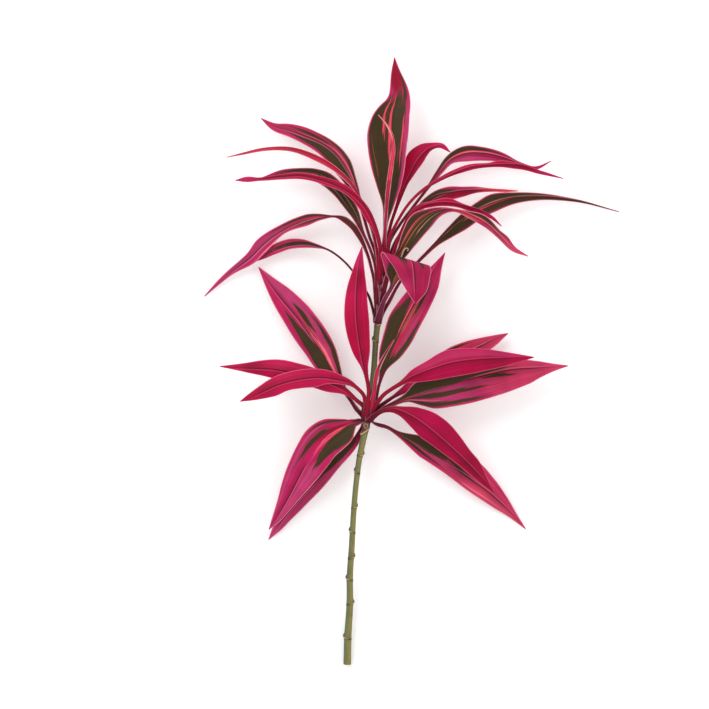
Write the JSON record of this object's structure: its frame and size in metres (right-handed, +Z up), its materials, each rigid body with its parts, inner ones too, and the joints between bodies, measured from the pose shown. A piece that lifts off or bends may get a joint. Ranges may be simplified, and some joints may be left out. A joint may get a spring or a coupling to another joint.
{
  "type": "cut dracaena cane",
  "caption": "Cut dracaena cane lying on its side: a bare jointed green stem that carries whorls of long pointed crimson leaves with dark olive centres, as a decorative cutting.",
  "frame": {"origin": "on the surface the plant lies on, under the middle of the whole plant", "axes": "+Y along the cane from the cut end to the top leaves, +X across it, +Z up from the surface"},
  "size_m": [0.6276, 0.9147, 0.1202],
  "materials": {
    "cane": "satin green rind with tan leaf scars",
    "leaf_upper_side": "satin leaf, dark olive centre with magenta edges",
    "leaf_underside": "satin leaf, plain crimson underside up"
  },
  "bodies": {
    "root": {"cane": "cane", "leaf_lower_01": "leaf_upper_side", "leaf_lower_02": "leaf_underside", "leaf_lower_03": "leaf_underside", "leaf_lower_04": "leaf_underside", "leaf_lower_05": "leaf_upper_side", "leaf_lower_06": "leaf_upper_side", "leaf_lower_07": "leaf_underside", "leaf_lower_08": "leaf_upper_side", "leaf_lower_09": "leaf_underside", "leaf_lower_10": "leaf_upper_side", "leaf_lower_11": "leaf_upper_side", "leaf_lower_12": "leaf_upper_side", "leaf_lower_13": "leaf_underside", "leaf_upper_01": "leaf_upper_side", "leaf_upper_02": "leaf_underside", "leaf_upper_03": "leaf_upper_side", "leaf_upper_04": "leaf_upper_side", "leaf_upper_05": "leaf_underside", "leaf_upper_06": "leaf_upper_side", "leaf_upper_07": "leaf_upper_side", "leaf_upper_08": "leaf_upper_side", "leaf_upper_09": "leaf_upper_side", "leaf_upper_10": "leaf_underside", "leaf_upper_11": "leaf_upper_side", "leaf_upper_12": "leaf_upper_side", "leaf_upper_13": "leaf_underside", "leaf_upper_14": "leaf_upper_side", "leaf_upper_15": "leaf_upper_side", "leaf_upper_16": "leaf_upper_side"}
  },
  "joints": []
}
